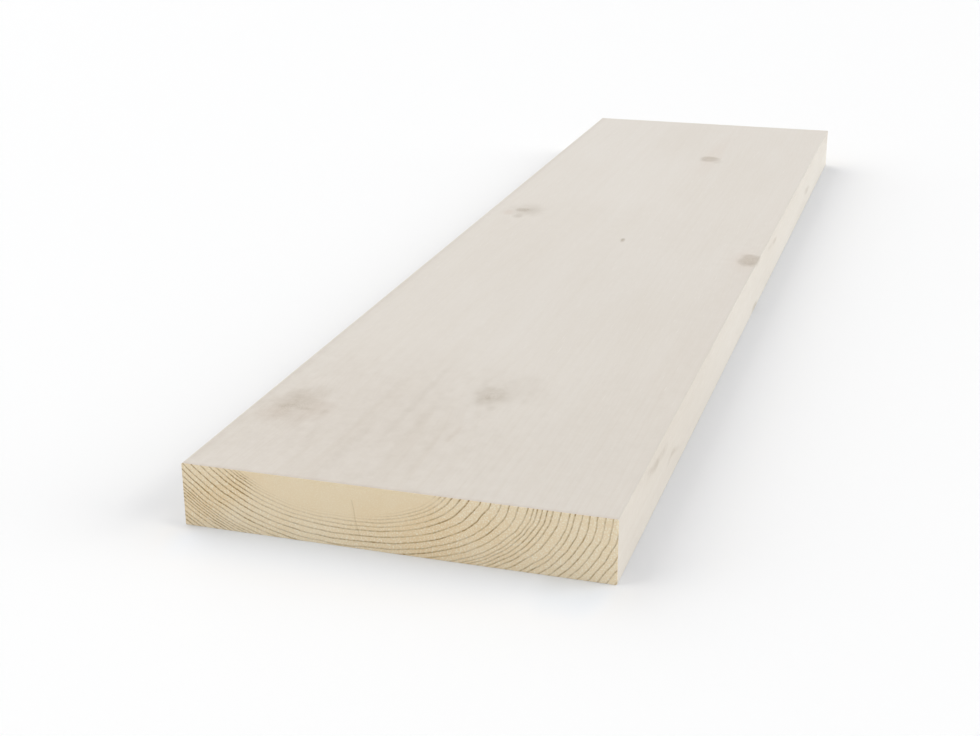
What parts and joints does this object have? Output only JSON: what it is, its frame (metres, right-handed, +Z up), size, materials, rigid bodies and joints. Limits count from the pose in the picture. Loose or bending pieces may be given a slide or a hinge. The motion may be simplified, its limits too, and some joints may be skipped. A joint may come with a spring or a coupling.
{
  "type": "timber plank",
  "caption": "Flat rectangular softwood plank with eased long edges and square-sawn ends, for shelves, boarding and general joinery.",
  "frame": {"origin": "centre of the lower face, on the surface that the plank lies on", "axes": "+X along the plank, away from the end with the drying check; +Y across its width; +Z up, through its thickness"},
  "size_m": [0.58, 0.145, 0.022],
  "materials": {
    "plank": "planed softwood with a thin white stain on faces and edges, and bare sawn ends"
  },
  "bodies": {
    "root": {"plank": "plank"}
  },
  "joints": []
}
